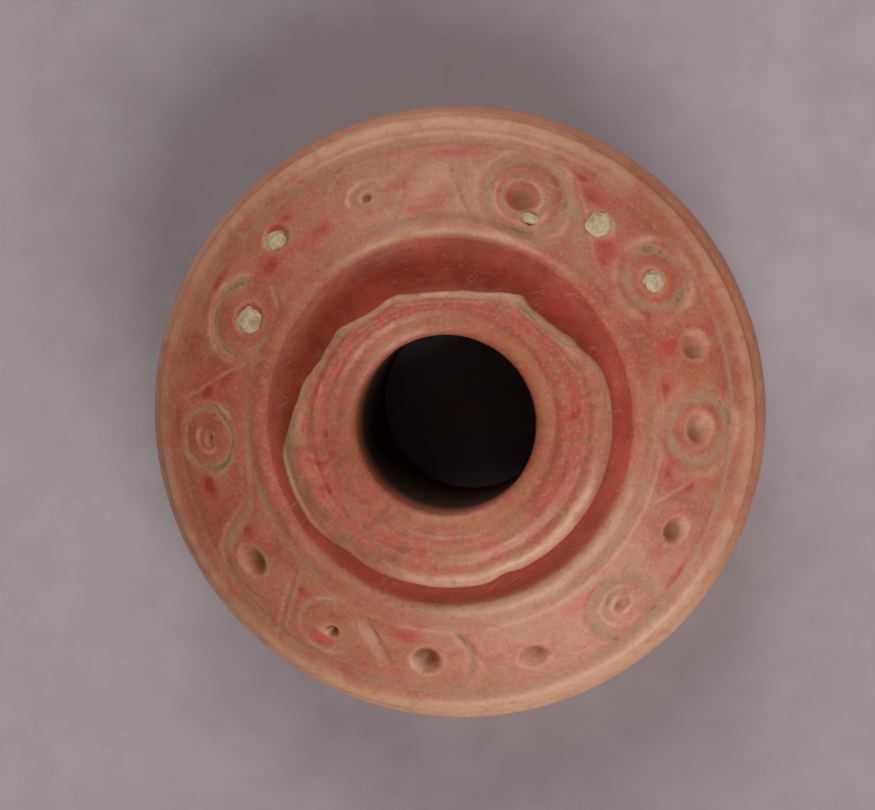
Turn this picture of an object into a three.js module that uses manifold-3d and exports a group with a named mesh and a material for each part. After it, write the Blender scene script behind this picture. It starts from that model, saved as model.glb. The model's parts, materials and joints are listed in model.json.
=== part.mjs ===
// A clay spindle whorl: a small fired-clay flywheel that is pushed onto a wooden spindle.
// It has a small flat base, a rounded underside, a short side wall, a domed shoulder carved with rings, pits and strokes,
// a ring-shaped hollow inside the shoulder's crest, and a neck that flares into a worn collar.
// Millimetres, +Z up the bore, origin at the centre of the base, on the surface it stands on.

import * as THREE from "three";
import { mergeVertices } from "three/addons/utils/BufferGeometryUtils.js";
import Module from "manifold-3d";

// Driving dimensions
const GREATEST_RADIUS = 16.15;
const HEIGHT = 15;
const BORE_RADIUS = 4.65;
const BASE_RADIUS = 10.5;
const WIDEST_HEIGHT = 7.2;
const WORN_EDGE = 0.3;

// Side wall and rim
const RIM_RADIUS = 15.6;
const RIM_HEIGHT = 9;
const RIM_ROUNDING = 0.3;
const RIM_GROOVE_DEPTH = 0.25;
const RIM_GROOVE_WIDTH = 0.6;
const WALL_TOP_RADIUS = 15.82;

// Shoulder: a cap of a sphere between the rim and the crest
const SHOULDER_SPHERE = 24;
const BAND_OUTER_RADIUS = 14.4;
const BAND_INNER_RADIUS = 11;
const INCISED_LINE_WIDTH = 0.36;
const INCISED_LINE_DEPTH = 0.2;
const CREST_RADIUS = 10.1;

// Ring-shaped hollow between the crest and the neck
const HOLLOW_OUTER_RADIUS = 9.55;
const HOLLOW_EDGE_HEIGHT = 12.45;
const HOLLOW_DEPTH = 0.25;

// Neck and collar
const NECK_RADIUS = 6.5;
const COLLAR_RADIUS = 8.7;
const FLARE_HEIGHT = 12.6;
const COLLAR_EDGE_LOW = 13.9;
const COLLAR_EDGE_HIGH = 14.2;
const COLLAR_BEVEL_RADIUS = 7.75;
const COLLAR_BEVEL_HEIGHT = 14.75;
const MOUTH_FLAT_OUTER = 6.6;
const MOUTH_FLAT_INNER = 5.5;
const MOUTH_LIP_DROP = 0.5;

// The collar's edge is worn and chipped: [degrees round from +X, how much of its radius is lost].
// Between two places the loss runs in a straight line, so each place is a corner of a chip.
const COLLAR_WEAR = [
  [0, 0.2], [20, 0.2], [38, 1.1], [54, 1.3], [59, 0.9], [78, 1.7], [102, 1.8], [114, 1.5],
  [128, 1.7], [140, 1.2], [154, 1.3], [165, 0.8], [190, 0.2], [205, 0], [218, 0], [232, 0.3],
  [242, 0.1], [270, 0.2], [285, 0.2], [292, 0.4], [303, 0.2], [330, 0.3], [360, 0.2],
];

// Carved decoration on the shoulder, each placed by [degrees round from +X, radius from the bore's axis]
const RINGS = [
  { at: [35, 12.8], radius: 1.8 },
  { at: [71.5, 12.4], radius: 2.1 },
  { at: [111, 12.4], radius: 1.8 },
  { at: [154, 11.95], radius: 2.2 },
  { at: [185, 12.95], radius: 1.7 },
  { at: [239.5, 12.75], radius: 1.6 },
  { at: [312.5, 13.2], radius: 1.95 },
  { at: [358, 12.75], radius: 2.1 },
];
const RING_GROOVE_WIDTH = 0.5;
const RING_GROOVE_DEPTH = 0.22;
const RING_STEPS = 18;

const OPEN_PITS = [
  [17, 13.2], [72, 12.2], [111, 12.35], [185, 12.85], [215.5, 12.8], [240.5, 12.7],
  [263.6, 12.75], [288.7, 13.15], [312.5, 13.2], [333.8, 13.05], [357.5, 12.75],
];
const FILLED_PITS = [
  [34.8, 12.8], [53.2, 12.8], [68.6, 11.4], [134.6, 13.2], [153.9, 11.85],
];
const PIT_RADIUS = 0.7;
const PIT_DEPTH = 0.55;
const PIT_FLOOR_RADIUS = 0.42;
const PIT_FLOOR_DEPTH = 0.41; // where the pit's wall meets its shallow conical floor
const PIT_STEPS = 10;
const PASTE_GAP = 0.09;
const PASTE_CROWN = 0.1;

// Strokes: the line that each runs along, its half width, and its depth
const STROKES = [
  { line: [[47, 10.9], [52, 11.8], [57, 12.9], [62, 13.8], [69, 14.2]], half: 0.35, depth: 0.2 },
  { line: [[83, 11.1], [86, 12.1], [90, 13.6]], half: 0.4, depth: 0.2 },
  { line: [[165, 11.4], [171, 12.6], [174, 14.1]], half: 0.2, depth: 0.15 },
  { line: [[190, 11.3], [200, 11.5], [205, 12.8], [209, 14]], half: 0.25, depth: 0.18 },
  { line: [[223.5, 11], [227.5, 12.6], [231, 14.2]], half: 0.25, depth: 0.18 },
  { line: [[248, 11.4], [252, 12.8], [255.5, 14]], half: 0.4, depth: 0.2 },
  { line: [[337, 11.1], [341, 12], [344, 12.9]], half: 0.25, depth: 0.15 },
];

const STROKE_END_SHARE = 0.35; // how wide and deep a stroke's ends are, as a share of its middle

const TURNING_STEPS = 72;
const ABOVE_SURFACE = 0.4; // how far each cutter stands out of the clay that it cuts

const wasm = await Module();
wasm.setup();

// Solids to and from manifold-3d

function toSolid(geometry) {
  const bare = geometry.index ? geometry.toNonIndexed() : geometry.clone();
  bare.deleteAttribute("normal");
  bare.deleteAttribute("uv");
  const merged = mergeVertices(bare, 1e-4);
  const mesh = new wasm.Mesh({
    numProp: 3,
    vertProperties: new Float32Array(merged.attributes.position.array),
    triVerts: new Uint32Array(merged.index.array),
  });
  return new wasm.Manifold(mesh);
}

function toGeometry(solid) {
  const mesh = solid.getMesh();
  const geometry = new THREE.BufferGeometry();
  geometry.setAttribute("position", new THREE.BufferAttribute(mesh.vertProperties, 3));
  geometry.setIndex(new THREE.BufferAttribute(mesh.triVerts, 1));
  const faceted = geometry.toNonIndexed();
  faceted.computeVertexNormals();
  return faceted;
}

// Turning: an outline of [radius, height] points, run counter-clockwise, spun about +Z

function turned(outline, steps) {
  const closed = [...outline, outline[0]];
  const points = closed.map(([radius, height]) => new THREE.Vector2(radius, height));
  return new THREE.LatheGeometry(points, steps).rotateX(Math.PI / 2);
}

function ellipseArc(radius, height, halfWide, halfHigh, fromDegrees, toDegrees, steps) {
  return Array.from({ length: steps + 1 }, (_, i) => {
    const angle = THREE.MathUtils.degToRad(fromDegrees + ((toDegrees - fromDegrees) * i) / steps);
    return [radius + halfWide * Math.cos(angle), height + halfHigh * Math.sin(angle)];
  });
}

// The shoulder's sphere

const sphereHeight = RIM_HEIGHT - Math.sqrt(SHOULDER_SPHERE ** 2 - RIM_RADIUS ** 2);

function shoulderHeight(radius) {
  return sphereHeight + Math.sqrt(SHOULDER_SPHERE ** 2 - radius ** 2);
}

function shoulderPoint([degrees, radius]) {
  const angle = THREE.MathUtils.degToRad(degrees);
  const height = shoulderHeight(radius);
  return new THREE.Vector3(radius * Math.cos(angle), radius * Math.sin(angle), height);
}

function shoulderNormal(point) {
  return point.clone().setZ(point.z - sphereHeight).normalize();
}

// Moves a shape that was turned about +Z so that it stands out of the shoulder at a place
function setOnShoulder(geometry, place) {
  const point = shoulderPoint(place);
  const lean = new THREE.Quaternion().setFromUnitVectors(new THREE.Vector3(0, 0, 1), shoulderNormal(point));
  return geometry.applyQuaternion(lean).translate(point.x, point.y, point.z);
}

// The clay body before carving

function incisedLine(radius) {
  const half = INCISED_LINE_WIDTH / 2;
  return [
    [radius + half, shoulderHeight(radius + half)],
    [radius, shoulderHeight(radius) - INCISED_LINE_DEPTH],
    [radius - half, shoulderHeight(radius - half)],
  ];
}

function bandPoints(steps) {
  return Array.from({ length: steps - 1 }, (_, i) => {
    const radius = BAND_OUTER_RADIUS + ((BAND_INNER_RADIUS - BAND_OUTER_RADIUS) * (i + 1)) / steps;
    return [radius, shoulderHeight(radius)];
  });
}

function bodyOutline() {
  const grooveFoot = RIM_HEIGHT - RIM_ROUNDING - RIM_GROOVE_WIDTH;
  const hollowCentre = (HOLLOW_OUTER_RADIUS + NECK_RADIUS) / 2;
  const hollowHalf = (HOLLOW_OUTER_RADIUS - NECK_RADIUS) / 2;
  const flareWide = COLLAR_RADIUS - NECK_RADIUS;
  return [
    [BORE_RADIUS, WORN_EDGE],
    [BORE_RADIUS + WORN_EDGE, 0],
    ...ellipseArc(BASE_RADIUS, WIDEST_HEIGHT, GREATEST_RADIUS - BASE_RADIUS, WIDEST_HEIGHT, -90, 0, 5),
    [WALL_TOP_RADIUS, grooveFoot],
    [RIM_RADIUS - RIM_GROOVE_DEPTH, grooveFoot + RIM_GROOVE_WIDTH / 2],
    [RIM_RADIUS, grooveFoot + RIM_GROOVE_WIDTH],
    [RIM_RADIUS - RIM_ROUNDING, shoulderHeight(RIM_RADIUS - RIM_ROUNDING)],
    ...incisedLine(BAND_OUTER_RADIUS + INCISED_LINE_WIDTH / 2),
    ...bandPoints(4),
    ...incisedLine(BAND_INNER_RADIUS - INCISED_LINE_WIDTH / 2),
    [CREST_RADIUS, shoulderHeight(CREST_RADIUS)],
    ...ellipseArc(hollowCentre, HOLLOW_EDGE_HEIGHT, hollowHalf, HOLLOW_DEPTH, 0, -180, 6),
    ...ellipseArc(COLLAR_RADIUS, FLARE_HEIGHT, flareWide, COLLAR_EDGE_LOW - FLARE_HEIGHT, 180, 90, 3),
    [COLLAR_RADIUS, COLLAR_EDGE_HIGH],
    [COLLAR_BEVEL_RADIUS, COLLAR_BEVEL_HEIGHT],
    [(COLLAR_BEVEL_RADIUS + MOUTH_FLAT_OUTER) / 2, COLLAR_BEVEL_HEIGHT],
    [MOUTH_FLAT_OUTER, HEIGHT],
    [MOUTH_FLAT_INNER, HEIGHT],
    [BORE_RADIUS + WORN_EDGE, HEIGHT - MOUTH_LIP_DROP / 2],
    [BORE_RADIUS, HEIGHT - MOUTH_LIP_DROP],
  ];
}

function collarLoss(degrees) {
  const next = COLLAR_WEAR.findIndex(([place]) => place >= degrees);
  const [toPlace, toLoss] = COLLAR_WEAR[Math.max(next, 1)];
  const [fromPlace, fromLoss] = COLLAR_WEAR[Math.max(next, 1) - 1];
  return THREE.MathUtils.mapLinear(degrees, fromPlace, toPlace, fromLoss, toLoss);
}

// Draws the collar in towards the mouth where its edge is lost
function wearCollar(geometry) {
  const position = geometry.attributes.position;
  for (let i = 0; i < position.count; i++) {
    const [x, y, z] = [position.getX(i), position.getY(i), position.getZ(i)];
    const radius = Math.hypot(x, y);
    if (z < FLARE_HEIGHT || radius <= MOUTH_FLAT_OUTER || radius > HOLLOW_OUTER_RADIUS) continue;
    const degrees = (THREE.MathUtils.radToDeg(Math.atan2(y, x)) + 360) % 360;
    const kept = 1 - collarLoss(degrees) / (COLLAR_RADIUS - MOUTH_FLAT_OUTER);
    const worn = MOUTH_FLAT_OUTER + (radius - MOUTH_FLAT_OUTER) * kept;
    position.setXY(i, (x * worn) / radius, (y * worn) / radius);
  }
  return geometry;
}

// Cutters for the carving

function ringCutter({ at, radius }) {
  const drop = SHOULDER_SPHERE - Math.sqrt(SHOULDER_SPHERE ** 2 - radius ** 2);
  const wide = (RING_GROOVE_WIDTH / 2) * (1 + ABOVE_SURFACE / RING_GROOVE_DEPTH);
  const outline = [
    [radius, -drop - RING_GROOVE_DEPTH],
    [radius + wide, -drop + ABOVE_SURFACE],
    [radius - wide, -drop + ABOVE_SURFACE],
  ];
  return setOnShoulder(turned(outline, RING_STEPS), at);
}

function pitCutter(place) {
  const outline = [
    [0, -PIT_DEPTH],
    [PIT_FLOOR_RADIUS, -PIT_FLOOR_DEPTH],
    [PIT_RADIUS, 0],
    [PIT_RADIUS, ABOVE_SURFACE],
    [0, ABOVE_SURFACE],
  ];
  return setOnShoulder(turned(outline, PIT_STEPS), place);
}

// A stroke is a three-sided wedge along its line, pointed at both ends
function strokeCutter({ line, half, depth }) {
  const points = line.map(shoulderPoint);
  const corners = [];
  const faces = [];
  points.forEach((point, i) => {
    const normal = shoulderNormal(point);
    const before = points[Math.max(i - 1, 0)];
    const after = points[Math.min(i + 1, points.length - 1)];
    const along = after.clone().sub(before).normalize();
    const across = along.clone().cross(normal).normalize();
    const atEnd = i === 0 || i === points.length - 1;
    const share = atEnd ? STROKE_END_SHARE : 1;
    const width = half * share * (1 + ABOVE_SURFACE / depth);
    const top = point.clone().addScaledVector(normal, ABOVE_SURFACE);
    corners.push(top.clone().addScaledVector(across, width));
    corners.push(top.clone().addScaledVector(across, -width));
    corners.push(point.clone().addScaledVector(normal, -depth * share));
  });
  faces.push(0, 1, 2);
  for (let i = 0; i < points.length - 1; i++) {
    for (let side = 0; side < 3; side++) {
      const a = i * 3 + side;
      const b = i * 3 + ((side + 1) % 3);
      faces.push(a, a + 3, b + 3, a, b + 3, b);
    }
  }
  const last = (points.length - 1) * 3;
  faces.push(last, last + 2, last + 1);
  const geometry = new THREE.BufferGeometry().setFromPoints(corners);
  geometry.setIndex(faces);
  return geometry;
}

// What is left of the white filling in a pit: it stands clear of the pit's wall all round
function pastePlug(place) {
  const outline = [
    [0, PASTE_GAP - PIT_DEPTH],
    [PIT_FLOOR_RADIUS - PASTE_GAP, PASTE_GAP - PIT_FLOOR_DEPTH],
    [PIT_RADIUS - PASTE_GAP, 0],
    [PIT_FLOOR_RADIUS, PASTE_CROWN],
    [0, PASTE_CROWN],
  ];
  return setOnShoulder(turned(outline, PIT_STEPS), place);
}

// Materials
const burnishedClay = new THREE.MeshStandardMaterial({ color: 0xa5604b, roughness: 0.55, metalness: 0 });
const whitePaste = new THREE.MeshStandardMaterial({ color: 0xc3b9a5, roughness: 0.95, metalness: 0 });

function named(name, geometry, material) {
  const mesh = new THREE.Mesh(geometry, material);
  mesh.name = name;
  return mesh;
}

const cutters = [
  ...RINGS.map(ringCutter),
  ...STROKES.map(strokeCutter),
  ...OPEN_PITS.map(pitCutter),
  ...FILLED_PITS.map(pitCutter),
];
const blank = toSolid(wearCollar(turned(bodyOutline(), TURNING_STEPS)));
const carved = cutters.reduce((clay, cutter) => clay.subtract(toSolid(cutter)), blank);

const whorl = new THREE.Group();
whorl.add(named("whorl", toGeometry(carved), burnishedClay));
FILLED_PITS.forEach((place, i) => {
  whorl.add(named(`white_paste_${i + 1}`, pastePlug(place), whitePaste));
});

export default whorl;
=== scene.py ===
import json
import math

import bmesh
import bpy
import numpy as np
from mathutils import Matrix, Vector, noise

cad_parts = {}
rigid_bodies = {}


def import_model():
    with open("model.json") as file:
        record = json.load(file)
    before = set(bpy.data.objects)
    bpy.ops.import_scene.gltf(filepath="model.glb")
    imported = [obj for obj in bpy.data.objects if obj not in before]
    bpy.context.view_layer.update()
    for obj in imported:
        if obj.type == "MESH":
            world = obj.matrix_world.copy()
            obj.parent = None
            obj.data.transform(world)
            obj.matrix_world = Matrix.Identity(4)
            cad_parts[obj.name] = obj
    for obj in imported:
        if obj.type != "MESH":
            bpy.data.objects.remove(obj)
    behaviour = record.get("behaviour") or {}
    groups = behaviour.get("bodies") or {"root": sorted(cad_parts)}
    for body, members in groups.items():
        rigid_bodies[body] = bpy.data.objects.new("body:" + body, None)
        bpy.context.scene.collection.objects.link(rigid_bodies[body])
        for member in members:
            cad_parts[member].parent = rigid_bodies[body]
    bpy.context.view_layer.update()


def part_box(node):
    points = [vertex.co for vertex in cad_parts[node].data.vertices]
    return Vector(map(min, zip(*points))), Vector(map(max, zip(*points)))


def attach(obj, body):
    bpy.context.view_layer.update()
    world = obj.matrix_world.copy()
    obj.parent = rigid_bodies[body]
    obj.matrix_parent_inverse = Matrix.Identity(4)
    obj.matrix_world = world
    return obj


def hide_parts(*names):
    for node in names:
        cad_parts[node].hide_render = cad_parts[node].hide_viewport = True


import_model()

# ---------------------------------------------------------------------------------------------
# The clay body, before carving.
# One solid ring of fine red-firing clay, shaped round a peg that left the bore and smoothed while
# damp: flat base, upright wall, domed shoulder, ring-shaped hollow, and a neck flaring to a collar.
# Its sizes stay in millimetres until it is worn, and then its mesh is made metres.
# ---------------------------------------------------------------------------------------------
MM = 0.001
TURN = 360

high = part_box("whorl")[1]
greatest_radius = high.x / MM
height = high.z / MM
bore_radius = 4.65
worn_foot = 0.3
base_radius = 10.5
widest_height = 7.2

rim_radius = 15.6
rim_height = 9.0
shoulder_sphere = 24.0
crest_radius = 9.95

hollow_outer = 9.42
hollow_edge = 12.5
hollow_floor = 12.36
neck_radius = 6.5

flare_foot = 12.7
collar_radius = 8.65
collar_low = 13.9
turning_steps = 640

sphere_centre = rim_height - math.sqrt(shoulder_sphere**2 - rim_radius**2)


def shoulder_height(radius):
    """How high the smooth shoulder, part of a sphere, stands at a radius."""
    return sphere_centre + math.sqrt(shoulder_sphere**2 - radius**2)


def arc(centre, half_wide, half_high, start, end, steps):
    """Points [radius, height] along an ellipse, from one angle to another in degrees."""
    turns = np.radians(np.linspace(start, end, steps + 1))
    return [(centre[0] + half_wide * math.cos(t), centre[1] + half_high * math.sin(t)) for t in turns]


def through(corners, step):
    """Points on a soft line through some corners, about one step apart, without the first."""
    corners = np.array(corners, float)
    lengths = np.hypot(*np.diff(corners, axis=0).T)
    along = np.concatenate([[0], np.cumsum(lengths)])
    places = np.linspace(0, along[-1], max(2, round(along[-1] / step)) + 1)[1:]
    return [(np.interp(p, along, corners[:, 0]), np.interp(p, along, corners[:, 1])) for p in places]


def bend(start, corner, end, step):
    """Points on a curve that leaves the start toward the corner and reaches the end from it."""
    start, corner, end = (np.array(place, float) for place in (start, corner, end))
    length = (np.linalg.norm(corner - start) + np.linalg.norm(end - corner) + np.linalg.norm(end - start)) / 2
    shares = np.linspace(0, 1, max(2, round(length / step)) + 1)[1:]
    return [tuple((1 - t) ** 2 * start + 2 * t * (1 - t) * corner + t * t * end) for t in shares]


def dome(start_radius, end_radius, step):
    """Points on the shoulder's sphere, a fixed step apart along its curve, without the first."""
    start = math.asin(start_radius / shoulder_sphere)
    end = math.asin(end_radius / shoulder_sphere)
    steps = round(abs(end - start) * shoulder_sphere / step)
    leans = np.linspace(start, end, steps + 1)[1:]
    radii = shoulder_sphere * np.sin(leans)
    return [(r, shoulder_height(r)) for r in radii]


outline = arc((bore_radius + worn_foot, worn_foot), worn_foot, worn_foot, 180, 270, 2)
outline += through([outline[-1], (base_radius, 0)], 1.8)
outline += arc((base_radius, widest_height), greatest_radius - base_radius, widest_height, -90, 0, 11)[1:]
outline += bend(outline[-1], (greatest_radius, 7.9), (15.9, 8.14), 0.4)
outline += through([outline[-1], (15.62, 8.28), (15.52, 8.43), (15.66, 8.62), (15.74, 8.74)], 0.15)
outline += through([outline[-1], (15.73, 8.84), (15.68, 8.94), (15.54, shoulder_height(15.54))], 0.12)
outline += dome(15.54, 10.3, 0.1035)
outline += bend(outline[-1], (9.88, 12.64), (hollow_outer, hollow_edge), 0.12)
outline += bend(outline[-1], (8.9, hollow_floor), (8.1, hollow_floor), 0.17)
outline += bend(outline[-1], (6.7, hollow_floor), (neck_radius, flare_foot), 0.32)
flare_wide = collar_radius - neck_radius
flare_tall = collar_low - flare_foot
outline += arc((collar_radius, flare_foot), flare_wide, flare_tall, 180, 90, 6)[1:]
outline += through([outline[-1], (8.65, 14.02), (8.57, 14.2)], 0.14)
outline += through([outline[-1], (8.32, 14.52), (7.92, 14.8), (7.7, 14.83)], 0.16)
outline += through([outline[-1], (7.35, 14.8), (7.02, 14.87), (6.86, 15.0), (6.7, 14.99)], 0.14)
outline += through([outline[-1], (6.3, 15.0), (5.95, 14.99), (5.86, 14.88), (5.75, 14.84)], 0.16)
outline += through([outline[-1], (5.3, 14.82), (5.0, 14.74), (4.78, 14.6), (4.67, 14.4)], 0.14)
outline += through([outline[-1], (bore_radius, 13.9), (bore_radius, worn_foot + 0.4)], 3.4)

turned = bmesh.new()
ring = [turned.verts.new((radius, 0, level)) for radius, level in outline]
edges = [turned.edges.new(pair) for pair in zip(ring, ring[1:] + ring[:1])]
bmesh.ops.spin(
    turned, geom=ring + edges, cent=(0, 0, 0), axis=(0, 0, 1), angle=math.tau,
    steps=turning_steps, use_merge=True, use_duplicate=False,
)
bmesh.ops.recalc_face_normals(turned, faces=turned.faces)
body_mesh = bpy.data.meshes.new("clay_body")
turned.to_mesh(body_mesh)
turned.free()


def vector_array(mesh, what):
    """A mesh's points or normals as an array of three columns."""
    flat = np.empty(len(mesh.vertices) * 3)
    (mesh.vertices if what == "co" else mesh.vertex_normals).foreach_get(what, flat)
    return flat.reshape(-1, 3)


clay = vector_array(body_mesh, "co")
facing = vector_array(body_mesh, "vector")
radius_at = np.hypot(clay[:, 0], clay[:, 1])
degrees_at = np.degrees(np.arctan2(clay[:, 1], clay[:, 0])) % TURN
height_at = clay[:, 2].copy()
on_shoulder = (radius_at > 9.7) & (height_at > 8.8)
above_hollow = height_at > 12
upper_collar = height_at > 14
mouth_face = height_at > 14.5

relief = np.zeros(len(clay))   # how far each point is moved out along its normal
pale = np.zeros(len(clay))     # where the red slip is rubbed away to the cream clay, and where highlights are painted pale
earth = np.zeros(len(clay))    # where grey-green earth sits in a cut
brown = np.zeros(len(clay))    # where brown dirt sits in a pit, and where shade is painted brown under the rim and along steep cuts
red = np.zeros(len(clay))      # where the deep red slip has survived
scraped = np.zeros(len(clay))  # where a stroke's flank has cut the slip away
painted_shade = np.zeros(len(clay))     # where shade is painted near-black down the bore


def smooth(low_value, high_value, value):
    """0 below the first value, 1 above the second, and a soft step between them."""
    t = np.clip((value - low_value) / (high_value - low_value), 0, 1)
    return t * t * (3 - 2 * t)


def bell(value, half):
    """1 at zero, falling softly to either side; half is how far out it has fallen to about a third."""
    return np.exp(-((value / half) ** 2))


def cloud(points, size, seed):
    """Soft noise from -1 to 1 at each point, with blotches about one size across."""
    shift = Vector((seed * 7.3, seed * 3.1, seed * 5.7))
    return np.array([noise.noise(Vector(p) / size + shift) for p in points])


# ---------------------------------------------------------------------------------------------
# The carving on the shoulder.
# Cut into the firm clay before firing: incised lines that frame a band, compass-drawn rings round
# drilled pits, plain pits, and slanting strokes with one steep side and one gentle side.
# ---------------------------------------------------------------------------------------------
def shoulder_point(degrees, radius):
    """The point of the smooth shoulder at a place given by degrees round and radius."""
    angle = math.radians(degrees)
    return np.array([radius * math.cos(angle), radius * math.sin(angle), shoulder_height(radius)])


def outward_normal(point):
    """The direction straight out of the smooth shoulder at a point."""
    lean = point - np.array([0, 0, sphere_centre])
    return lean / np.linalg.norm(lean)


def near_place(place, reach):
    """Which points of the shoulder lie near a place, and how far along the band and down the slope."""
    centre = shoulder_point(*place)
    away = clay - centre
    near = np.flatnonzero(on_shoulder & ((away**2).sum(1) < reach**2))
    angle = math.radians(place[0])
    along = np.array([-math.sin(angle), math.cos(angle), 0])
    down = np.cross(along, outward_normal(centre))
    return near, away[near] @ along, away[near] @ down


def incise_line(radius, half, depth, seed):
    """A line drawn round the shoulder: it wanders a little, and its depth varies."""
    wander = 0.05 * np.sin(np.radians(degrees_at * 2 + 40 * seed)) + 0.03 * np.sin(np.radians(degrees_at * 5))
    slope = np.sqrt(1 - np.clip(radius_at / shoulder_sphere, 0, 1) ** 2)
    offset = (radius_at - radius - wander) / slope
    uneven = 0.7 + 0.3 * np.sin(np.radians(degrees_at * 3 + 100 * seed))
    cut = bell(offset, half) * uneven * on_shoulder
    relief[:] -= depth * cut
    return cut


def part_way_round(start, full_from, full_to, end):
    """1 along one stretch of the way round, in degrees, and fading to 0 at its two ends."""
    return smooth(start, full_from, degrees_at) * smooth(end, full_to, degrees_at)


def lay(mask, near, values):
    """Adds to a mask where the new values are stronger."""
    mask[near] = np.maximum(mask[near], values)


def carve_ring(place, radius, half, depth, tall=1.0, start=0, span=TURN, soil=0.5, rub=0.0):
    """A round groove about a place. start and span are bearings: 0 along the band, 90 down the slope.
    Earth fills it softly, and its outer lip is rubbed pale."""
    near, along, down = near_place(place, radius + 4 * half)
    distance = np.hypot(along, down / tall)
    bearing = (np.degrees(np.arctan2(down, along)) - start) % TURN
    ends = 20
    fade = 1 if span == TURN else smooth(0, ends, bearing) * (1 - smooth(span - ends, span, bearing))
    uneven = 0.75 + 0.35 * cloud(clay[near], 0.8, 31)
    offset = distance - radius + 0.12 * half * uneven
    groove = bell(offset, half) * fade * uneven
    lip = bell(offset - 1.6 * half, 0.7 * half) * fade * uneven
    relief[near] += 0.25 * depth * lip - depth * groove
    lay(earth, near, soil * smooth(0.15, 0.75, groove))
    lay(pale, near, rub * lip * (0.6 + 0.8 * (uneven - 0.75) / 0.35))


def drill_pit(place, wide, tall, depth, soil=0.8, lean=0.0, rim=0.0):
    """A drilled pit, dirty on its steep side toward the bore. lean moves its deepest point along the
    band; rim is how pale a highlight is painted on the lip of its outer side."""
    near, along, down = near_place(place, 2.4 * max(wide, tall))
    distance = np.hypot(along / wide, down / tall)
    deepest = np.hypot((along - lean) / wide, down / tall + 0.22)
    bowl = np.clip(1 - distance**2, 0, 1) * (0.6 + 0.4 * bell(deepest, 0.6))
    relief[near] -= depth * bowl
    spread = 0.3 + 0.9 * soil
    lay(brown, near, soil * smooth(spread, 0.35 * spread, deepest) * smooth(1.05, 0.8, distance))
    # a highlight painted pale on the lip of the pit's outer side
    lay(pale, near, rim * bell(distance - 0.8, 0.3) * smooth(-0.3, 0.6, down / tall - lean * along / wide))


def cut_stroke(line, gentle, depth, steep=0.09, side=1, blunt=0.0, rub=0.6, painted_shade=0.5, soil=0.0):
    """A slanting stroke through some places. Its gentle side lies to the left of the way it runs,
    or to the right with side -1, and is rubbed pale; its shadow is painted brown along its steep side."""
    corners = np.array(line, float)
    steps = 24 * (len(corners) - 1)
    t = np.linspace(0, len(corners) - 1, steps + 1)
    knots = np.arange(len(corners))
    fit = np.polynomial.polynomial.polyfit(knots, corners, min(3, len(corners) - 1))
    places = np.polynomial.polynomial.polyval(t, fit).T
    path = np.array([shoulder_point(*p) for p in places])
    heading = np.gradient(path, axis=0)
    heading /= np.linalg.norm(heading, axis=1)[:, None]
    up = np.array([outward_normal(p) for p in path])
    left = np.cross(up, heading) * side
    reach = gentle + 4 * steep
    box_low, box_high = path.min(0) - reach, path.max(0) + reach
    near = np.flatnonzero(on_shoulder & (clay > box_low).all(1) & (clay < box_high).all(1))
    away = clay[near][:, None, :] - path[None, :, :]
    nearest = np.argmin((away**2).sum(2), axis=1)
    picked = np.arange(len(near))
    offset = (away[picked, nearest] * left[nearest]).sum(1)
    beyond = np.abs((away[picked, nearest] * heading[nearest]).sum(1))
    share = nearest / steps
    taper = np.clip(np.sin(np.pi * (blunt + (1 - blunt) * share)), 0, 1) ** 0.6
    taper *= bell(beyond, 0.12) * (0.8 + 0.35 * cloud(clay[near], 0.9, 33))
    slope = np.clip(1 - offset / gentle, 0, 1) ** 1.3 * (offset >= 0)
    cut = np.where(offset >= 0, slope, bell(offset, steep)) * taper
    relief[near] -= depth * cut
    flank = smooth(0.02, 0.2, offset) * smooth(gentle, gentle * 0.6, offset) * taper
    lay(scraped, near, flank)
    lay(pale, near, rub * flank)
    lay(earth, near, soil * flank)
    # the steep side's shadow, painted brown
    lay(brown, near, painted_shade * bell(offset, steep * 1.1) * taper)


# The sides of the whorl, by what has happened to each and where light and highlights are painted on them
chipped_and_highlit_side = part_way_round(45, 75, 110, 135)
sooty_side = part_way_round(100, 150, 225, 260)
kept_side = part_way_round(120, 160, 260, 295)
rubbed_and_lit_side = part_way_round(250, 275, 315, 340)
highlit_lip_side = smooth(215, 260, degrees_at) + smooth(20, 0, degrees_at)

# Two lines frame the band: earth lies in both, and beside the inner one a thin highlight is painted pale on
# the key lamp's side
outer_line = incise_line(14.5, 0.18, 0.06, 1)
inner_trough = incise_line(10.65, 0.26, 0.05, 2)
inner_lip = bell(radius_at - 11.12, 0.09) * on_shoulder
earth += 0.6 * outer_line + (0.52 - 0.3 * chipped_and_highlit_side) * inner_trough
brown += (0.2 * inner_trough + 0.25 * outer_line) * sooty_side + 0.35 * inner_trough * chipped_and_highlit_side
pale += 0.45 * highlit_lip_side * inner_lip

# The rim keeps a low ridge on its rubbed side, which faces the key lamp, with a highlight painted
# pale along it; shade is painted brown in the groove under the rim
rim_ridge = bell(radius_at - 15.32, 0.18) * rubbed_and_lit_side * on_shoulder
behind_ridge = bell(radius_at - 14.75, 0.25) * rubbed_and_lit_side * on_shoulder
under_rim = bell(height_at - 8.45, 0.16) * (radius_at > 15) * (radius_at < 15.9)
relief += 0.07 * rim_ridge
pale += 0.6 * rim_ridge
earth += 0.4 * behind_ridge
brown += 0.8 * under_rim * (1 - kept_side)

# Filled pits take their place from the white paste that sits in them
paste_nodes = [f"white_paste_{i + 1}" for i in range(5)]
paste_places = []
for node in paste_nodes:
    paste_low, paste_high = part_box(node)
    middle = (paste_low + paste_high) / 2 / MM
    paste_places.append((math.degrees(math.atan2(middle.y, middle.x)), math.hypot(middle.x, middle.y)))
for place, wide in zip(paste_places, (0.66, 0.8, 0.5, 0.8, 0.92)):
    drill_pit(place, wide, wide, 0.4, soil=0.5)

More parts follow.
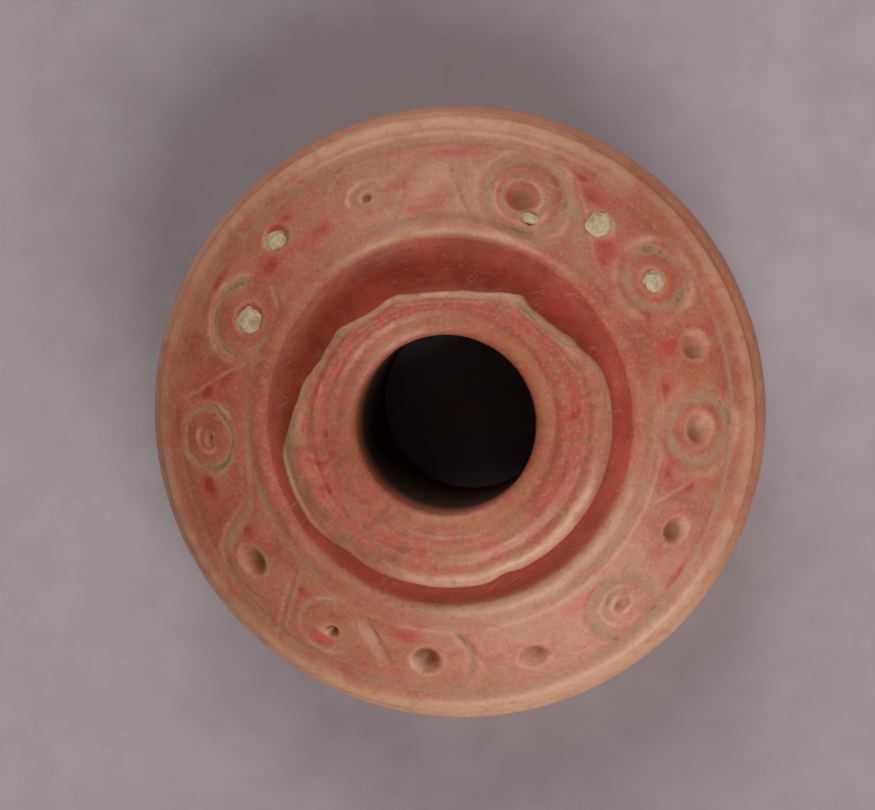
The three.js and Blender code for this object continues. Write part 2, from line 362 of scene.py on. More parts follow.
# Ring round a filled pit, packed with grey-green earth, and the long stroke beside it
carve_ring((35, 12.9), 1.6, 0.4, 0.09, soil=0.5, rub=0.5)
carve_ring((35, 12.9), 1.65, 0.34, 0.03, start=5, span=65, soil=1.0, rub=0.4)
carve_ring((35, 12.9), 1.7, 0.3, 0.03, start=120, span=60, soil=1.0, rub=0.4)
cut_stroke([(43, 11.0), (47, 11.1), (52, 11.6), (56.6, 12.5), (59.6, 13.4), (64, 14.1)], 1.0, 0.1,
           side=1, rub=0.35, painted_shade=0.15, soil=0.6)

# The largest figure: two rings about a deep brown pit, and a leaf beside it
carve_ring((71.7, 12.4), 2.15, 0.34, 0.09, soil=0.6, rub=0.3)
carve_ring((72, 12.3), 1.25, 0.2, 0.07, start=190, span=200, soil=0.6, rub=0.3)
drill_pit((72.4, 12.25), 1.0, 0.95, 0.42, soil=0.7)
cut_stroke([(82.3, 10.6), (85.5, 11.2), (88.7, 12.4), (90.8, 13.7)], 0.95, 0.1,
           side=-1, blunt=0.3, rub=0.0, painted_shade=0.4, soil=0.3)

# Two thin rings about a small dot
carve_ring((111.4, 12.45), 2.0, 0.11, 0.035, soil=0.5)
carve_ring((111.4, 12.4), 1.75, 0.09, 0.02, soil=0.3, rub=0.3)
carve_ring((111.3, 12.4), 0.8, 0.16, 0.04, start=-20, span=200, soil=0.2, rub=0.8)
drill_pit((111.3, 12.4), 0.28, 0.28, 0.3, soil=0.8)

# Crescent beyond a filled pit, faint marks above it, and a thin curl
carve_ring((154.4, 12.0), 2.0, 0.26, 0.11, start=-20, span=190, soil=0.75, rub=0.7)
carve_ring((152.5, 12.2), 1.9, 0.16, 0.05, start=190, span=60, soil=0.7)
carve_ring((154.4, 12.0), 1.7, 0.2, 0.05, start=-95, span=70, soil=0.7)
cut_stroke([(164, 11.1), (166.7, 11.8), (169.3, 12.55), (172.7, 13.3), (175.2, 14.1), (174.8, 14.6)],
           0.32, 0.04, 0.12, side=1, rub=0.6, painted_shade=0.25)

# Thin pale ring with a short inner arc over a small pit
carve_ring((185.1, 12.95), 1.62, 0.2, 0.07, tall=0.95, soil=0.65, rub=0.45)
carve_ring((185.1, 12.95), 1.75, 0.22, 0.02, tall=0.95, start=-65, span=80, soil=1.0)
carve_ring((185.3, 12.95), 0.5, 0.14, 0.06, start=-60, span=230, soil=0.1, rub=0.9)
drill_pit((185.1, 12.9), 0.34, 0.3, 0.2, soil=0.4)

# The long curl: a crusted stretch, a groove, and a bend that runs in under an oval pit
cut_stroke([(185.5, 10.95), (189, 11.05), (193, 11.15), (197.3, 11.35), (200.8, 11.65)], 0.6, 0.06,
           side=1, rub=0.55, painted_shade=0.1, soil=0.55)
cut_stroke([(200, 11.6), (203.4, 12.0), (206, 12.9), (208.5, 13.75), (212.6, 14.2)], 0.75, 0.14,
           side=1, rub=0.6, painted_shade=0.5, soil=0.4)
cut_stroke([(208.5, 13.75), (212.6, 14.2), (216.8, 14.3), (222, 14.15), (226.2, 13.6)], 0.35, 0.08,
           side=1, rub=0.1, painted_shade=0.5)
drill_pit((215.7, 13.0), 0.95, 0.82, 0.4, soil=0.85, lean=0.2, rim=0.2)
cut_stroke([(222.9, 10.9), (226.8, 12.45), (230, 14.1), (231.6, 14.9)], 0.5, 0.13, side=1, rub=0.6, painted_shade=0.65)

# Thin ring about a green-black dot, and the broad leaf after it
carve_ring((239.3, 12.75), 1.5, 0.14, 0.05, soil=0.3, rub=0.7)
drill_pit((238.9, 12.9), 0.5, 0.5, -0.06, soil=0.0, rim=0.5)
drill_pit((240.5, 12.95), 0.42, 0.42, 0.36, soil=1.0)
cut_stroke([(247.4, 11.4), (250, 11.9), (252.9, 12.5), (257.4, 13.8)], 0.9, 0.12,
           side=-1, blunt=0.15, rub=0.55, painted_shade=0.4, soil=0.25)

# Deep pit with an arc and a thin line on one side, and a plain pit
drill_pit((263.8, 12.85), 0.85, 0.92, 0.46, soil=0.95, lean=0.05, rim=0.2)
carve_ring((264.6, 12.75), 2.25, 0.22, 0.06, start=-65, span=135, soil=0.75)
cut_stroke([(273.5, 11.2), (275, 11.9), (277, 12.8), (280, 14.1)], 0.3, 0.04, side=1, rub=0.3, painted_shade=0.3)
drill_pit((288.8, 13.2), 0.85, 0.75, 0.4, soil=0.55, lean=0.2, rim=0.15)

# A broad brown ring, worn soft, and part of a smaller one about a bright little boss
carve_ring((312.3, 13.35), 1.75, 0.4, 0.07, soil=0.62)
carve_ring((312.3, 13.35), 2.0, 0.14, 0.03, start=120, span=170, soil=0.7)
carve_ring((312.4, 13.3), 0.95, 0.2, 0.06, start=150, span=190, soil=0.7, rub=0.4)
carve_ring((312.2, 13.3), 1.15, 0.16, -0.04, start=60, span=150, soil=0.0, rub=0.5)
drill_pit((312.6, 13.2), 0.55, 0.42, 0.22, soil=0.4, lean=-0.2)
drill_pit((312.0, 13.45), 0.22, 0.22, -0.07, soil=0.0, rim=0.6)

# Plain pit and a faint curl
drill_pit((333.7, 13.05), 0.78, 0.72, 0.3, soil=0.9, lean=-0.2, rim=0.3)
cut_stroke([(336.5, 11.5), (340.9, 12.2), (343, 12.6), (346.5, 13.3)], 0.35, 0.05, side=1, rub=0.7, painted_shade=0.2)

# Broad pale ring about a bright pit, and the plain pit after it
carve_ring((358, 12.9), 1.75, 0.42, 0.08, soil=0.6, rub=0.45)
carve_ring((358, 12.9), 1.95, 0.2, 0.03, start=20, span=90, soil=0.95)
drill_pit((358.2, 12.95), 0.9, 0.8, 0.4, soil=0.5, lean=-0.3, rim=0.25)
drill_pit((17.2, 13.25), 0.75, 0.82, 0.36, soil=0.6, lean=-0.35, rim=0.3)

# A shoulder smoothed by hand is never quite even
relief += 0.04 * cloud(clay, 2.6, 3) * on_shoulder
relief += 0.012 * cloud(clay, 0.7, 5) * (height_at > 8.1)

# ---------------------------------------------------------------------------------------------
# Wear and breakage.
# The collar's thin edge is chipped all along one side, in shallow scallops; crest, rim and collar
# are rubbed down to cream clay; the slip has survived deep red in the hollow and on one side.
# Highlights are painted pale on crest, rim and collar bead, light on the hollow's outer slope,
# and shade near-black down the bore.
# ---------------------------------------------------------------------------------------------
# Corners of the chips: degrees round, and how far out the edge still reaches
collar_edge = [
    (0, 8.66), (10, 8.66), (20, 8.6), (25, 8.33), (29, 8.03), (34, 7.98), (39, 7.64), (48, 7.48), (54, 7.46),
    (59, 7.8), (63, 7.6), (70, 7.3), (76, 7.06), (90, 6.9), (102, 6.9), (112, 7.16), (117, 7.14), (122, 7.0),
    (129, 7.08), (135, 7.3), (139, 7.5), (144, 7.42), (152, 7.36), (158, 7.5), (163, 7.75), (170, 7.86),
    (177, 8.12), (184, 8.4), (190, 8.8), (205, 8.9), (217, 8.9), (226, 8.66), (232, 8.46), (240, 8.6),
    (262, 8.56), (278, 8.6), (285, 8.58), (291, 8.34), (298, 8.5), (318, 8.54), (340, 8.62), (360, 8.66),
]
wear_inside = 6.0
corner_turn = 1.5
turns = (-corner_turn, 0, corner_turn)
edge_reach = sum(np.interp((degrees_at + turn) % TURN, *zip(*collar_edge)) for turn in turns) / len(turns)
drawn_in = (edge_reach - wear_inside) / (collar_radius - wear_inside)
on_flare = smooth(12.4, 13.4, height_at) * (radius_at > wear_inside) * (radius_at < hollow_outer)
worn_radius = wear_inside + (radius_at - wear_inside) * drawn_in
new_radius = radius_at + (worn_radius - radius_at) * on_flare
loss = smooth(8.45, 7.6, edge_reach)
edge_zone = smooth(7.6, 8.2, radius_at) * (height_at > 13.0) * (radius_at < hollow_outer)
clay[:, :2] *= (new_radius / np.maximum(radius_at, 0.001))[:, None]

# The collar's top keeps its outline over the drawn-in edge, and slopes down where it is broken
top_foot = 14.15
break_wide = 0.55
break_deep = 0.42
top_outline = sorted(place for place in outline if place[1] > top_foot and place[0] > 5.7)
on_top = (height_at > top_foot) & (radius_at > wear_inside)
broken = smooth(edge_reach - break_wide, edge_reach, new_radius) * loss
top_height = np.interp(new_radius, *zip(*top_outline)) - break_deep * broken
clay[on_top, 2] = top_height[on_top]

chatter = cloud(clay, 0.45, 11)
relief += 0.05 * chatter * edge_zone * loss

# Where the edge was never broken it is a rounded bead, with a soft groove inside it; the bead is rubbed pale
# and painted with a highlight
bead = part_way_round(235, 270, 325, 350) * upper_collar * (radius_at > 6.5)
on_bead = bead * bell(new_radius - edge_reach + 0.4 + 0.15 * cloud(clay, 1.3, 14), 0.26)
relief += (0.08 + 0.05 * chatter) * on_bead - 0.05 * bead * bell(new_radius - edge_reach + 1.1, 0.3)
pale += 0.8 * on_bead

# A second flake came off the top beside the deepest chip, and softer steps run round the collar
second_edge = np.interp(degrees_at, [25, 33, 45, 58, 66], [8.6, 7.5, 7.05, 7.15, 7.6])
flake = part_way_round(24, 34, 56, 66) * smooth(0, 0.12, new_radius - second_edge) * upper_collar
relief -= 0.09 * flake
pale += 0.3 * flake
earth += 0.55 * flake
for place, half, tall in ((7.25, 0.1, 0.03), (6.45, 0.12, -0.03), (5.65, 0.1, 0.02)):
    wander = 0.12 * np.sin(np.radians(degrees_at + 60 * place)) + 0.06 * np.sin(np.radians(3 * degrees_at))
    step = bell(radius_at - place - wander, half) * mouth_face * (0.6 + 0.4 * chatter)
    relief += tall * step
    pale += 6 * abs(tall) * step
relief -= 0.03 * edge_zone * (1 - loss) * (0.5 + 0.5 * cloud(clay, 0.6, 12))

# How far handling has thinned the slip, all round: degrees, and share rubbed away
handling = [(0, 0.26), (30, 0.2), (60, 0.2), (90, 0.34), (115, 0.42), (145, 0.28), (180, 0.1), (205, 0.2),
            (230, 0.4), (255, 0.65), (285, 0.95), (303, 0.8), (316, 0.5), (345, 0.28), (360, 0.26)]
worn = np.interp(degrees_at, *zip(*handling))
drift = 0.5 + 0.5 * cloud(clay, 1.6, 21)

# Where the slip is rubbed through to the cream clay: collar, crest, rim, shoulder and side wall; on crest,
# rim and shoulder, highlights and light are also painted pale on the sides facing the lamps
on_rim = smooth(8.65, 8.8, height_at)
wall = smooth(8.45, 8.1, height_at) * (radius_at > 13)
rubbed_and_highlit_crest = part_way_round(262, 285, 325, 350)
pale += edge_zone * smooth(13.5, 13.95, height_at) * (0.35 + 0.4 * loss) * (0.5 + 0.7 * drift)
pale += 0.07 * kept_side * upper_collar * bell(radius_at - 7.4, 0.9)
pale += above_hollow * (0.06 + 0.7 * worn**2) * bell(radius_at - crest_radius, 0.25)
# the crest toward the key lamp: rubbed pale, with a painted highlight
pale += above_hollow * 0.6 * rubbed_and_highlit_crest * bell(radius_at - crest_radius - 0.05, 0.36)
# a highlight painted pale along the crest on the side toward the fill lamp
pale += above_hollow * 0.9 * chipped_and_highlit_side * bell(radius_at - crest_radius + 0.02, 0.15)
pale += on_rim * (0.08 + 0.3 * worn) * smooth(14.6, 15.0, radius_at)
# the rim is rubbed pale; toward the fill lamp it is painted paler still, with a highlight line inside it
pale += on_rim * (0.26 + 0.25 * worn + 0.2 * chipped_and_highlit_side) * smooth(15.0, 15.4, radius_at)
pale += on_shoulder * 0.5 * chipped_and_highlit_side * bell(radius_at - 14.9, 0.12)
# the shoulder is rubbed pale, and painted paler still as light on the key lamp's side
pale += on_shoulder * (0.2 + 0.2 * rubbed_and_lit_side) * worn * drift
pale += wall * (0.5 * rubbed_and_lit_side + (0.25 + 0.25 * drift) * kept_side + 0.15)

# Where deep red slip has survived: in the hollow, in blots on the collar, thinly on the shoulder
blot = 0.5 + 0.5 * cloud(clay, 0.7, 33)
on_mouth = mouth_face * (radius_at > 4.9)
in_hollow = (radius_at < 9.8) & (radius_at > 6.2) & (height_at < 13.8) & (height_at > 11.5)
collar_slip = (0.5 * (1 - worn) ** 2 + 0.12 * kept_side) * (0.4 + drift)
red += in_hollow * smooth(9.75, 9.5, radius_at)
red += 0.55 * smooth(0.5, 0.72, blot) * on_mouth * (1 - 0.6 * worn)
red += collar_slip * upper_collar * bell(radius_at - 6.6, 0.9)
red += 0.3 * (1 - worn) ** 2 * on_shoulder
red += 0.3 * smooth(14.82, 14.6, height_at) * (radius_at < 5.2)

# Where plain clay shows through: the side wall, the hollow's outer slope, and the mouth; on the outer slope
# toward the key lamp, light is painted in as more plain clay
lit_hollow_side = part_way_round(235, 285, 325, 362)
outer_slope = in_hollow * smooth(8.3, 8.9, radius_at)
bare_and_lit = wall * (0.3 + 0.5 * drift) * (0.3 + worn) * (1 - 0.8 * kept_side)
bare_and_lit += (0.15 + 0.2 * lit_hollow_side) * outer_slope
bare_and_lit += bell(radius_at - 5.4, 0.4) * mouth_face * (0.2 + drift) * (1 - 0.8 * kept_side)

# How thin the slip is; on the hollow's outer slope toward the key lamp, light is painted in as thinner slip
thin_and_lit = worn + 0.6 * (drift - 0.5) + 0.8 * wall * kept_side + 0.9 * lit_hollow_side * outer_slope
thin_and_lit -= (height_at > 13.5) * (0.25 + 0.2 * bell(degrees_at - 90, 45) + 0.15 * kept_side)
thin_and_lit = np.clip(thin_and_lit, 0, 1)

# Painted shade: near-black down the bore. Dirt: brown on the mouth's lip and in blots, earth along the broken
# edge
soiled_lip = part_way_round(130, 165, 205, 240) * smooth(6.8, 6.2, radius_at) * upper_collar
painted_shade += smooth(14.7, 13.9, height_at) * (radius_at < 5.4) * (1 - 0.12 * smooth(10, 5, height_at))
brown += 0.3 * smooth(0.5, 0.25, blot) * on_mouth * kept_side
brown += 0.45 * soiled_lip * (0.6 + 0.6 * drift)
for place, half, share in ((187, 26, 0.65), (140, 14, 0.5)):
    earth += share * edge_zone * bell(degrees_at - place, half) * (0.4 + 0.8 * drift)

# Rosy patches where a thicker brush-load of slip has held: degrees, radius, half length, half width
for degrees, radius, long, wide in [
    (5, 14.2, 0.9, 0.3), (8, 11.3, 0.8, 0.5), (19, 12.0, 0.6, 0.8), (28, 11.6, 0.8, 0.4),
    (47.5, 11.9, 0.85, 1.1), (58, 13.8, 1.3, 0.6), (62, 14.2, 0.8, 0.3), (77, 12.1, 0.6, 0.8),
    (90, 13.9, 1.6, 0.4), (99, 11.2, 1.3, 0.3), (103, 12.6, 0.9, 0.35), (126, 12.0, 1.4, 0.6),
    (132, 13.6, 1.2, 0.4), (140, 12.4, 1.0, 0.7), (150, 14.3, 0.9, 0.5), (154, 12.0, 0.9, 1.0),
    (169, 12.0, 0.9, 0.7), (174, 13.0, 0.8, 0.8), (181, 14.6, 1.4, 0.3), (196, 13.3, 1.2, 0.6),
    (209, 12.3, 0.7, 0.6), (228.5, 12.1, 0.6, 0.4), (239, 13.5, 0.8, 0.6), (246, 14.6, 1.0, 0.4),
    (258, 11.6, 0.8, 0.4), (305, 11.7, 1.2, 0.4), (325, 14.3, 1.0, 0.3), (344.5, 12.9, 0.5, 0.4),
    (347, 11.8, 0.8, 0.5),
]:
    near, along, down = near_place((degrees, radius), 2.2 * max(long, wide))
    lay(red, near, np.exp(-((along / long) ** 2) - (down / wide) ** 2) * (1 - 0.9 * scraped[near]))


def even_out(values, joins, rounds):
    """Each point's value, averaged with its neighbours' a few times over."""
    first, second = joins.T
    points = len(values)
    count = np.bincount(first, minlength=points) + np.bincount(second, minlength=points)
    for _ in range(rounds):
        total = np.bincount(first, values[second], points) + np.bincount(second, values[first], points)
        values = (values + total / count) / 2
    return values


joins = np.empty(len(body_mesh.edges) * 2, int)
body_mesh.edges.foreach_get("vertices", joins)
joins = joins.reshape(-1, 2)

# Whatever stands proud of its neighbours is rubbed pale, and whatever lies low holds earth
proud = relief - even_out(relief, joins, 14)
pale += smooth(0.006, 0.03, proud) * 0.3
earth += smooth(0.008, 0.04, -proud) * 0.35 * on_shoulder

# The relief is carried out along the normals, and nothing passes the greatest radius or height
clay += facing * relief[:, None]
inside = np.minimum(1, greatest_radius / np.maximum(np.hypot(clay[:, 0], clay[:, 1]), 0.001))
clay[:, :2] *= inside[:, None]
clay[:, 2] = np.clip(clay[:, 2], 0, height)
body_mesh.vertices.foreach_set("co", (clay * MM).ravel())
masks = {"pale": pale, "earth": earth, "brown": brown, "red": red, "painted_shade": painted_shade, "thin_and_lit": thin_and_lit, "bare_and_lit": bare_and_lit}
for name, values in masks.items():
    mask = body_mesh.attributes.new(name, "FLOAT", "POINT")
    mask.data.foreach_set("value", np.clip(values, 0, 1).astype(np.float32))
body_mesh.shade_smooth()
body_mesh.update()
print("clay body:", len(body_mesh.polygons) * 2, "triangles,", len(outline), "rows")

body = bpy.data.objects.new("clay_body", body_mesh)
bpy.context.scene.collection.objects.link(body)


# ---------------------------------------------------------------------------------------------
# The finish of the clay.
# Red slip, burnished to a soft gloss, over pinkish clay: blotchy, scratched with hair-fine lines,
# rubbed pale on high places, with earth and brown dirt left in the cuts. Painted highlights come in
# as cream, painted light as thin slip and plain clay, and painted shade as brown and near-black.
# ---------------------------------------------------------------------------------------------
def colour(red_part, green_part, blue_part):
    """A colour given in parts of 255 as it looks, turned into the values of light that shaders use."""
    parts = [p / 255 for p in (red_part, green_part, blue_part)]
    return [p / 12.92 if p < 0.04045 else ((p + 0.055) / 1.055) ** 2.4 for p in parts] + [1.0]


class Tree:
    """A few short ways to add and join nodes in one material or group."""

    def __init__(self, tree):
        self.nodes = tree.nodes
        self.links = tree.links

    def node(self, kind, **settings):
        made = self.nodes.new(kind)
        for name, value in settings.items():
            setattr(made, name, value)
        return made

    def join(self, value, socket):
        if isinstance(value, bpy.types.NodeSocket):
            self.links.new(value, socket)
        else:
            socket.default_value = value

    def math(self, operation, a, b=0.5, clamp=False):
        made = self.node("ShaderNodeMath", operation=operation, use_clamp=clamp)
        self.join(a, made.inputs[0])
        self.join(b, made.inputs[1])
        return made.outputs[0]

    def mix(self, factor, a, b):
        """A colour between a and b: a where the factor is 0, and b where it is 1."""
        made = self.node("ShaderNodeMix", data_type="RGBA")
        self.join(factor, made.inputs["Factor"])
        self.join(a, made.inputs[6])
        self.join(b, made.inputs[7])
        return made.outputs[2]

    def spread(self, value, start, end, low_value=0.0, high_value=1.0):
        """Stretches the part of a value between start and end to a new span."""
        made = self.node("ShaderNodeMapRange", interpolation_type="SMOOTHSTEP")
        self.join(value, made.inputs["Value"])
        ends = {"From Min": start, "From Max": end, "To Min": low_value, "To Max": high_value}
        for name, number in ends.items():
            made.inputs[name].default_value = number
        return made.outputs["Result"]

    def blotches(self, where, size, detail=3.0, rough=0.5, warp=0.0):
        """Noise with blotches about size millimetres across."""
        made = self.node("ShaderNodeTexNoise")
        self.join(where, made.inputs["Vector"])
        made.inputs["Scale"].default_value = 1 / size
        made.inputs["Detail"].default_value = detail
        made.inputs["Roughness"].default_value = rough
        made.inputs["Distortion"].default_value = warp
        return made.outputs["Fac"]

    def mask(self, name):
        return self.node("ShaderNodeAttribute", attribute_name=name).outputs["Fac"]

    def in_millimetres(self, shift=(0, 0, 0), turn=(0, 0, 0)):
        """Object coordinates in millimetres, turned and shifted."""
        place = self.node("ShaderNodeTexCoord")
        made = self.node("ShaderNodeMapping")
        made.inputs["Scale"].default_value = [1 / MM] * 3
        made.inputs["Location"].default_value = shift
        made.inputs["Rotation"].default_value = turn
        self.links.new(place.outputs["Object"], made.inputs["Vector"])
        return made.outputs["Vector"]


mottling = bpy.data.node_groups.new("mottling", "ShaderNodeTree")
for name in ("Broad", "Middling", "Fine"):
    mottling.interface.new_socket(name, in_out="OUTPUT", socket_type="NodeSocketFloat")
t = Tree(mottling)
where = t.in_millimetres()
outlet = t.node("NodeGroupOutput")
t.join(t.blotches(where, 2.6, 4, 0.6, 0.6), outlet.inputs["Broad"])
t.join(t.blotches(where, 0.9, 4, 0.55, 0.5), outlet.inputs["Middling"])
t.join(t.blotches(where, 0.2, 5, 0.7), outlet.inputs["Fine"])

slip_brown = colour(158, 80, 59)
slip_tan = colour(176, 106, 78)
slip_pink = colour(189, 114, 86)
slip_olive = colour(168, 114, 80)
slip_rosy = colour(182, 84, 68)
deep_red = colour(156, 56, 42)
bright_red = colour(204, 76, 58)
dark_red = colour(112, 40, 30)
bare_clay = colour(176, 114, 78)
clay_cream = colour(203, 153, 120)
tan_earth = colour(166, 122, 94)
green_earth = colour(124, 96, 68)
pit_brown = colour(122, 72, 42)
painted_bore_shade = colour(48, 31, 22)
hair_pale = colour(206, 146, 124)

finish = bpy.data.materials.new("burnished_clay")
finish.use_nodes = True
finish.node_tree.nodes.clear()
t = Tree(finish.node_tree)
where = t.in_millimetres()
mottled = t.node("ShaderNodeGroup", node_tree=mottling)
broad, middling, fine = (mottled.outputs[name] for name in ("Broad", "Middling", "Fine"))

# Rubbing marks run round the whorl: noise stretched along the turn, close-set across it
apart = t.node("ShaderNodeSeparateXYZ")
t.join(where, apart.inputs[0])
squares = [t.math("POWER", apart.outputs[axis], 2) for axis in ("X", "Y")]
out = t.math("SQRT", t.math("ADD", *squares))
round_it = t.node("ShaderNodeCombineXYZ")
for axis in ("X", "Y"):
    t.join(t.math("MULTIPLY", t.math("DIVIDE", apart.outputs[axis], out), 5), round_it.inputs[axis])
t.join(t.math("MULTIPLY", t.math("ADD", out, apart.outputs["Z"]), 2.2), round_it.inputs["Z"])
streaks = t.blotches(round_it.outputs[0], 1, 4, 0.6, 0.3)

# The slip runs from thick and brown to thin and pink, mottled olive and rosy; light painted on the hollow's
# outer slope counts as thin
thin_and_lit = t.math("ADD", t.mask("thin_and_lit"), t.math("MULTIPLY", t.math("SUBTRACT", broad, 0.5), 0.9), clamp=True)
tone = t.mix(t.spread(thin_and_lit, 0.0, 0.4), slip_brown, slip_tan)
tone = t.mix(t.spread(thin_and_lit, 0.35, 0.85), tone, slip_pink)
tone = t.mix(t.spread(middling, 0.52, 0.62, 0, 0.6), tone, slip_olive)
tone = t.mix(t.spread(middling, 0.47, 0.36, 0, 0.6), tone, slip_rosy)
tone = t.mix(t.spread(streaks, 0.53, 0.66, 0, 0.5), tone, slip_rosy)
tone = t.mix(t.spread(streaks, 0.47, 0.34, 0, 0.35), tone, bare_clay)

# Deep red where it lies thickest, darker along the rubbing marks, and plain clay where it is gone; painted
# light on the hollow's outer slope brightens the red and brings in plain clay
thick = t.math("MULTIPLY", t.mask("red"), t.spread(middling, 0.25, 0.6, 1.2, 0.75), clamp=True)
tone = t.mix(t.spread(thick, 0.0, 0.6), tone, slip_rosy)
tone = t.mix(t.spread(thick, 0.45, 0.9), tone, t.mix(t.spread(thin_and_lit, 0.1, 0.9), deep_red, bright_red))
murky = t.math("MULTIPLY", t.spread(streaks, 0.5, 0.66), t.spread(thick, 0.5, 1.0, 0, 0.45))
tone = t.mix(murky, tone, dark_red)
tone = t.mix(t.math("MULTIPLY", t.mask("bare_and_lit"), t.spread(broad, 0.3, 0.55, 0.5, 1)), tone, bare_clay)

# Cream where it is rubbed through and where highlights are painted, and earth on top
rubbed_and_highlit = t.math("MULTIPLY", t.mask("pale"), t.spread(middling, 0.25, 0.6, 0.55, 1.1))
rubbed_and_highlit = t.math("MULTIPLY", rubbed_and_highlit, t.spread(streaks, 0.3, 0.6, 0.8, 1.15), clamp=True)
tone = t.mix(rubbed_and_highlit, tone, clay_cream)
soiled = t.math("MULTIPLY", t.mask("earth"), t.spread(middling, 0.3, 0.65, 0.6, 1.1), clamp=True)
tone = t.mix(t.spread(soiled, 0.0, 0.6, 0, 0.9), tone, tan_earth)
tone = t.mix(t.spread(soiled, 0.6, 1.0, 0, 0.7), tone, green_earth)

# Hair-fine scratches lie in three directions, plainest in the red slip
hair = 0.0
for lean, seed in ((-38, 3), (-12, 40), (30, 70)):
    leaning = t.node("ShaderNodeVectorMath", operation="MULTIPLY")
    t.join(t.in_millimetres(shift=(seed, seed, 0), turn=(0, 0, math.radians(lean))), leaning.inputs[0])
    leaning.inputs[1].default_value = (0.7, 11, 0.7)
    hair = t.math("MAXIMUM", hair, t.spread(t.blotches(leaning.outputs[0], 1, 1, 0.5, 0.4), 0.66, 0.74))
sparse = t.spread(t.blotches(t.in_millimetres(shift=(31, 7, 3)), 1.1, 2), 0.46, 0.62)
hairs = t.math("MULTIPLY", hair, sparse)
hairs = t.math("MULTIPLY", hairs, t.spread(t.mask("red"), 0.2, 0.9, 0.15, 1))
tone = t.mix(t.math("MULTIPLY", hairs, 0.4), tone, hair_pale)

# Cream specks and brown pores, then the brown of dirt and painted shade, and the shade painted near-black in
# the bore
specks = t.math("MULTIPLY", t.spread(fine, 0.5, 0.72, 0.0, 0.4), t.spread(t.mask("red"), 0.3, 1.0, 1, 0.2))
tone = t.mix(specks, tone, clay_cream)
tone = t.mix(t.spread(fine, 0.48, 0.28, 0.0, 0.4), tone, pit_brown)
tone = t.mix(t.mask("brown"), tone, pit_brown)
tone = t.mix(t.mask("painted_shade"), tone, painted_bore_shade)

# The burnish is a soft gloss, dulled by earth and in the bore's painted shade; scratches and pores are also
# cut in
gloss = t.spread(streaks, 0.3, 0.7, 0.3, 0.54)
gloss = t.math("ADD", gloss, t.math("MULTIPLY", t.math("MAXIMUM", soiled, t.mask("painted_shade")), 0.3), clamp=True)

grain = t.math("ADD", t.math("MULTIPLY", fine, 0.6), t.math("MULTIPLY", middling, 0.9))
grain = t.math("ADD", grain, t.math("MULTIPLY", streaks, 0.5))
grain = t.math("SUBTRACT", grain, t.math("MULTIPLY", hairs, 0.3))
bump = t.node("ShaderNodeBump")
bump.inputs["Strength"].default_value = 0.8
bump.inputs["Distance"].default_value = 0.035 * MM
t.join(grain, bump.inputs["Height"])

shader = t.node("ShaderNodeBsdfPrincipled")
t.join(tone, shader.inputs["Base Color"])
t.join(gloss, shader.inputs["Roughness"])
shader.inputs["Specular IOR Level"].default_value = 0.4
t.join(bump.outputs["Normal"], shader.inputs["Normal"])
output = t.node("ShaderNodeOutputMaterial")
t.join(shader.outputs["BSDF"], output.inputs["Surface"])
body_mesh.materials.append(finish)

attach(body, "root")
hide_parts("whorl")

# ---------------------------------------------------------------------------------------------
# The white paste.
# A chalky white filling was pressed into the pits; plugs of it are left in five of them. Each is a
# loose-grained lump, sunk to about the level of the shoulder, browned by dirt in patches.
# ---------------------------------------------------------------------------------------------
chalk = bpy.data.materials.new("chalky_paste")
chalk.use_nodes = True
chalk.node_tree.nodes.clear()
t = Tree(chalk.node_tree)
mottled = t.node("ShaderNodeGroup", node_tree=mottling)
tone = t.mix(t.spread(mottled.outputs["Fine"], 0.35, 0.65), colour(178, 152, 120), colour(204, 182, 152))
tone = t.mix(t.spread(mottled.outputs["Middling"], 0.5, 0.62, 0, 0.75), tone, colour(156, 120, 92))
bump = t.node("ShaderNodeBump")
bump.inputs["Strength"].default_value = 0.6
bump.inputs["Distance"].default_value = 0.05 * MM
t.join(mottled.outputs["Fine"], bump.inputs["Height"])
shader = t.node("ShaderNodeBsdfPrincipled")
t.join(tone, shader.inputs["Base Color"])
shader.inputs["Roughness"].default_value = 0.95
t.join(bump.outputs["Normal"], shader.inputs["Normal"])
output = t.node("ShaderNodeOutputMaterial")
t.join(shader.outputs["BSDF"], output.inputs["Surface"])

# Half width along the band, half width down the slope, and shift along the band, of each plug
plug_sizes = [(0.6, 0.6, 0), (0.72, 0.85, 0), (0.5, 0.32, 0), (0.6, 0.6, 0.2), (0.78, 0.8, 0.15)]
plug_thick = 0.3
for i, (node, place, (wide, tall, shift)) in enumerate(zip(paste_nodes, paste_places, plug_sizes)):
    centre = shoulder_point(*place)
    normal = outward_normal(centre)
    angle = math.radians(place[0])
    along = np.array([-math.sin(angle), math.cos(angle), 0])
    down = np.cross(along, normal)
    lump = bmesh.new()
    bmesh.ops.create_icosphere(lump, subdivisions=4, radius=1)
    for vert in lump.verts:
        u, v, w = vert.co
        rough = 1 + 0.22 * noise.noise(vert.co * 1.6 + Vector((i * 5, 0, 0)))
        rough += 0.07 * noise.noise(vert.co * 6 + Vector((0, i * 5, 0)))
        sunk = centre + normal * (w * plug_thick * rough - 0.2)
        vert.co = Vector((sunk + along * (u * wide * rough + shift) + down * (v * tall * rough)) * MM)
    bmesh.ops.recalc_face_normals(lump, faces=lump.faces)
    plug_mesh = bpy.data.meshes.new(f"paste_plug_{i + 1}")
    lump.to_mesh(plug_mesh)
    lump.free()
    plug_mesh.shade_smooth()
    plug_mesh.materials.append(chalk)
    plug = bpy.data.objects.new(f"paste_plug_{i + 1}", plug_mesh)
    bpy.context.scene.collection.objects.link(plug)
    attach(plug, "root")
    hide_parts(node)

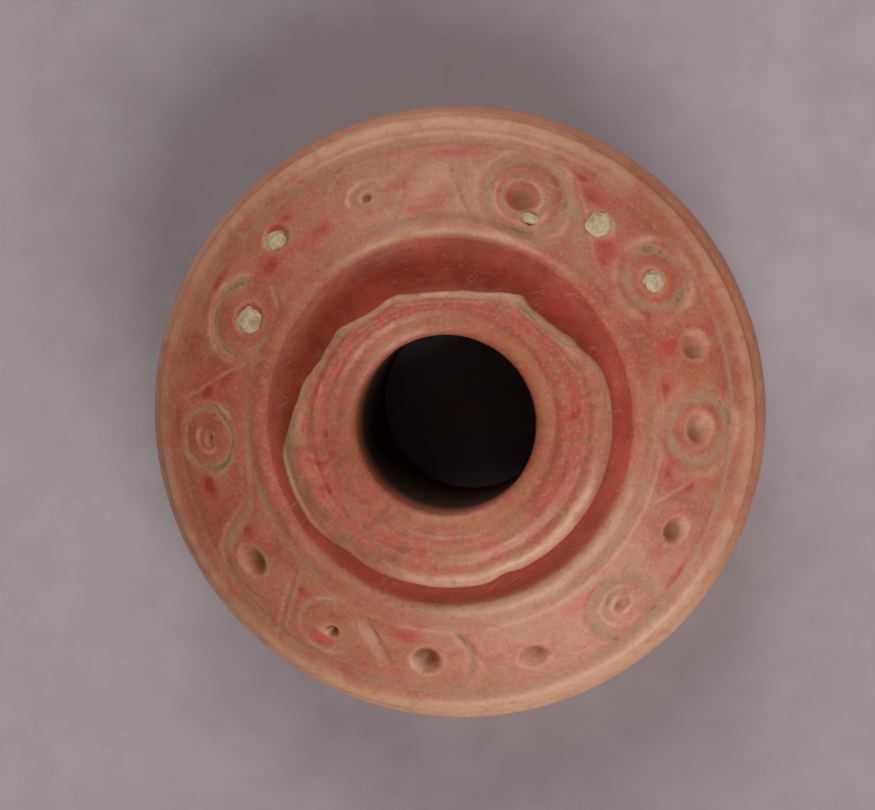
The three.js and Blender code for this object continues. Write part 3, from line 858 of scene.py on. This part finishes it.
# ---------------------------------------------------------------------------------------------
# The table it stands on: a plain pale mauve-grey board, not part of the object.
# ---------------------------------------------------------------------------------------------
board = bmesh.new()
bmesh.ops.create_grid(board, x_segments=1, y_segments=1, size=0.6)
bmesh.ops.translate(board, verts=board.verts, vec=(0, 0, -0.02 * MM))
board_mesh = bpy.data.meshes.new("board")
board.to_mesh(board_mesh)
board.free()
floor = bpy.data.objects.new("board", board_mesh)
bpy.context.scene.collection.objects.link(floor)
paper = bpy.data.materials.new("pale_board")
paper.use_nodes = True
t = Tree(paper.node_tree)
shader = paper.node_tree.nodes["Principled BSDF"]
flecks = t.blotches(t.in_millimetres(), 3.0, 4, 0.6)
board_tone = t.mix(t.spread(flecks, 0.35, 0.65), colour(160, 147, 151), colour(166, 153, 157))
t.join(board_tone, shader.inputs["Base Color"])
shader.inputs["Roughness"].default_value = 0.9
board_mesh.materials.append(paper)

# ---------------------------------------------------------------------------------------------
# The light and the camera: two big soft lamps, one each side, and a long lens almost overhead.
# ---------------------------------------------------------------------------------------------
scene = bpy.context.scene
scene.view_settings.view_transform = "Standard"


def toward(azimuth, elevation):
    """The direction of a place seen from the object, in degrees from +X and above the board."""
    a, e = math.radians(azimuth), math.radians(elevation)
    return Vector((math.cos(e) * math.cos(a), math.cos(e) * math.sin(a), math.sin(e)))


for name, azimuth, elevation, power in (("key", 298, 38, 2.4), ("fill", 97, 37, 1.9)):
    lamp = bpy.data.lights.new(name, "AREA")
    lamp.shape = "DISK"
    lamp.size = 0.46
    lamp.energy = power
    lit = bpy.data.objects.new(name, lamp)
    lit.location = toward(azimuth, elevation) * 0.5
    lit.rotation_euler = toward(azimuth, elevation).to_track_quat("Z", "Y").to_euler()
    scene.collection.objects.link(lit)

world = bpy.data.worlds.new("room")
world.use_nodes = True
world.node_tree.nodes["Background"].inputs["Color"].default_value = (1, 0.97, 0.98, 1)
world.node_tree.nodes["Background"].inputs["Strength"].default_value = 0.02
scene.world = world

lens_distance = 0.5
picture_width = 46.2 * MM
sight = toward(42, 82.5)
level = Vector((0, 1, 0)).cross(sight).normalized()
aim = Vector((-1.26 * MM, 0.28 * MM, 6.2 * MM))
lens = bpy.data.cameras.new("camera")
lens.sensor_width = 36
lens.lens = lens.sensor_width * lens_distance / picture_width
camera = bpy.data.objects.new("camera", lens)
camera.matrix_world = Matrix.Translation(aim + sight * lens_distance) @ Matrix(
    (level, sight.cross(level), sight)
).transposed().to_4x4()
scene.collection.objects.link(camera)
scene.camera = camera
